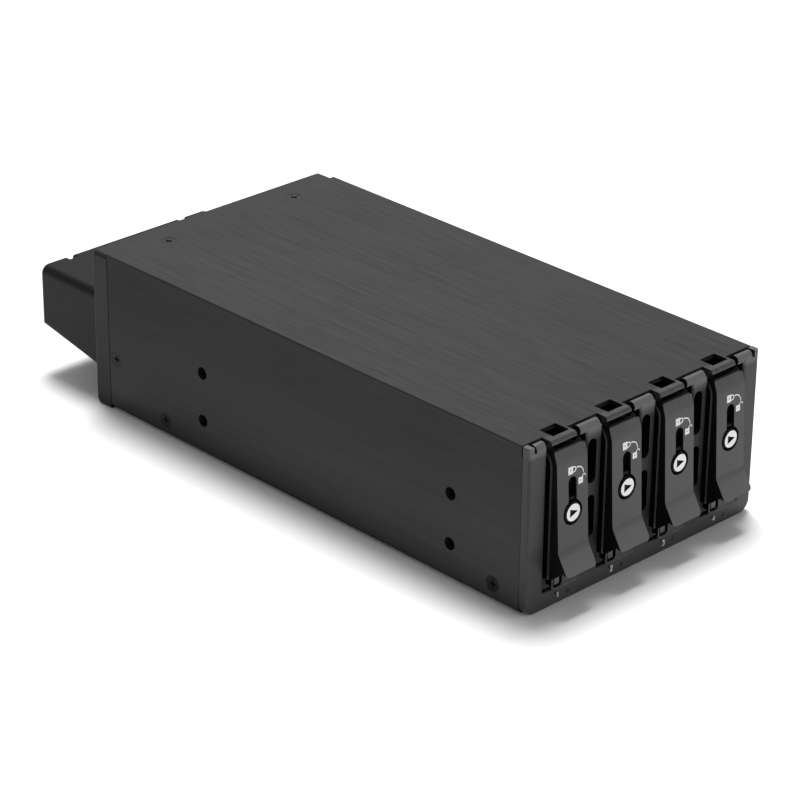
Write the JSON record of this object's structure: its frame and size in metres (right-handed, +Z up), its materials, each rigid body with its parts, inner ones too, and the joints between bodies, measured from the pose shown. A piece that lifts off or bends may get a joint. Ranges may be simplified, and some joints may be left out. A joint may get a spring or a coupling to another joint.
{
  "type": "hot swap drive cage",
  "caption": "Compact metal drive cage with upright bays; each tray slides out and has a hinged, lockable front lever, with side mounting holes and a rear connector hood.",
  "frame": {"origin": "centre of the assembly's box at its base, where the cage stands", "axes": "+Z up; -Y towards the bezel and levers, +Y towards the connector hood; +X to the right seen from the front"},
  "size_m": [0.071, 0.1682, 0.0392],
  "materials": {
    "cover_black": "black anodised, brushed along its length",
    "sheet_black": "fine textured black powder coat",
    "bezel_black": "satin black",
    "frame_black": "satin moulded black",
    "hood_plastic": "fine grained black plastic",
    "lever_black": "satin black, folded sheet",
    "tray_black": "matte black sheet",
    "lock_metal": "black body with a raised white face",
    "screw_black": "black oxide",
    "zinc_steel": "bright zinc",
    "brass": "plain turned brass",
    "board_green": "solder mask over laminate",
    "socket_plastic": "moulded black socket plastic",
    "component_black": "epoxy package",
    "connector_shell": "plated steel shell",
    "guide_plastic": "low friction moulded plastic",
    "clear_plastic": "smoke tinted light pipe",
    "smoked_lens": "smoked lens"
  },
  "bodies": {
    "root": {"top_cover": "cover_black", "base_tray": "sheet_black", "front_bezel": "bezel_black", "status_lenses": "smoked_lens", "lower_guide": "guide_plastic", "upper_guide": "guide_plastic", "backplane_board": "board_green", "backplane_sockets": "socket_plastic", "backplane_brackets": "zinc_steel", "backplane_screws": "zinc_steel", "connector_board": "board_green", "board_standoffs": "brass", "board_header": "socket_plastic", "board_components": "component_black", "data_connectors": "connector_shell", "power_connector": "socket_plastic", "rear_frame": "frame_black", "rear_plate": "frame_black", "rear_hood": "hood_plastic", "cover_screws": "screw_black"},
    "tray_1": {"tray_1_carrier": "tray_black", "tray_1_front": "tray_black", "tray_1_board": "board_green", "tray_1_card_socket": "socket_plastic", "tray_1_card_post": "brass", "tray_1_screws": "screw_black", "tray_1_light_pipe": "clear_plastic", "tray_1_pivot_pin": "zinc_steel"},
    "lever_1": {"tray_1_lever": "lever_black"},
    "lock_1": {"tray_1_lock": "lock_metal"},
    "tray_2": {"tray_2_carrier": "tray_black", "tray_2_front": "tray_black", "tray_2_board": "board_green", "tray_2_card_socket": "socket_plastic", "tray_2_card_post": "brass", "tray_2_screws": "screw_black", "tray_2_light_pipe": "clear_plastic", "tray_2_pivot_pin": "zinc_steel"},
    "lever_2": {"tray_2_lever": "lever_black"},
    "lock_2": {"tray_2_lock": "lock_metal"},
    "tray_3": {"tray_3_carrier": "tray_black", "tray_3_front": "tray_black", "tray_3_board": "board_green", "tray_3_card_socket": "socket_plastic", "tray_3_card_post": "brass", "tray_3_screws": "screw_black", "tray_3_light_pipe": "clear_plastic", "tray_3_pivot_pin": "zinc_steel"},
    "lever_3": {"tray_3_lever": "lever_black"},
    "lock_3": {"tray_3_lock": "lock_metal"},
    "tray_4": {"tray_4_carrier": "tray_black", "tray_4_front": "tray_black", "tray_4_board": "board_green", "tray_4_card_socket": "socket_plastic", "tray_4_card_post": "brass", "tray_4_screws": "screw_black", "tray_4_light_pipe": "clear_plastic", "tray_4_pivot_pin": "zinc_steel"},
    "lever_4": {"tray_4_lever": "lever_black"},
    "lock_4": {"tray_4_lock": "lock_metal"}
  },
  "joints": [
    {"name": "tray_1_slide", "type": "slide", "parent": "root", "child": "tray_1", "axis": [0, -1, 0], "range_m": [0, 0.1]},
    {"name": "lever_1_hinge", "type": "hinge", "parent": "tray_1", "child": "lever_1", "pos_m": [-0.0245, -0.07708, 0.0334], "axis": [-1, 0, 0], "range_deg": [0, 85]},
    {"name": "lock_1_turn", "type": "hinge", "parent": "lever_1", "child": "lock_1", "pos_m": [-0.0245, -0.08098, 0.0219], "axis": [0, -1, 0], "range_deg": [0, 90]},
    {"name": "tray_2_slide", "type": "slide", "parent": "root", "child": "tray_2", "axis": [0, -1, 0], "range_m": [0, 0.1]},
    {"name": "lever_2_hinge", "type": "hinge", "parent": "tray_2", "child": "lever_2", "pos_m": [-0.00805, -0.07708, 0.0334], "axis": [-1, 0, 0], "range_deg": [0, 85]},
    {"name": "lock_2_turn", "type": "hinge", "parent": "lever_2", "child": "lock_2", "pos_m": [-0.00805, -0.08098, 0.0219], "axis": [0, -1, 0], "range_deg": [0, 90]},
    {"name": "tray_3_slide", "type": "slide", "parent": "root", "child": "tray_3", "axis": [0, -1, 0], "range_m": [0, 0.1]},
    {"name": "lever_3_hinge", "type": "hinge", "parent": "tray_3", "child": "lever_3", "pos_m": [0.0084, -0.07708, 0.0334], "axis": [-1, 0, 0], "range_deg": [0, 85]},
    {"name": "lock_3_turn", "type": "hinge", "parent": "lever_3", "child": "lock_3", "pos_m": [0.0084, -0.08098, 0.0219], "axis": [0, -1, 0], "range_deg": [0, 90]},
    {"name": "tray_4_slide", "type": "slide", "parent": "root", "child": "tray_4", "axis": [0, -1, 0], "range_m": [0, 0.1]},
    {"name": "lever_4_hinge", "type": "hinge", "parent": "tray_4", "child": "lever_4", "pos_m": [0.02485, -0.07708, 0.0334], "axis": [-1, 0, 0], "range_deg": [0, 85]},
    {"name": "lock_4_turn", "type": "hinge", "parent": "lever_4", "child": "lock_4", "pos_m": [0.02485, -0.08098, 0.0219], "axis": [0, -1, 0], "range_deg": [0, 90]}
  ]
}
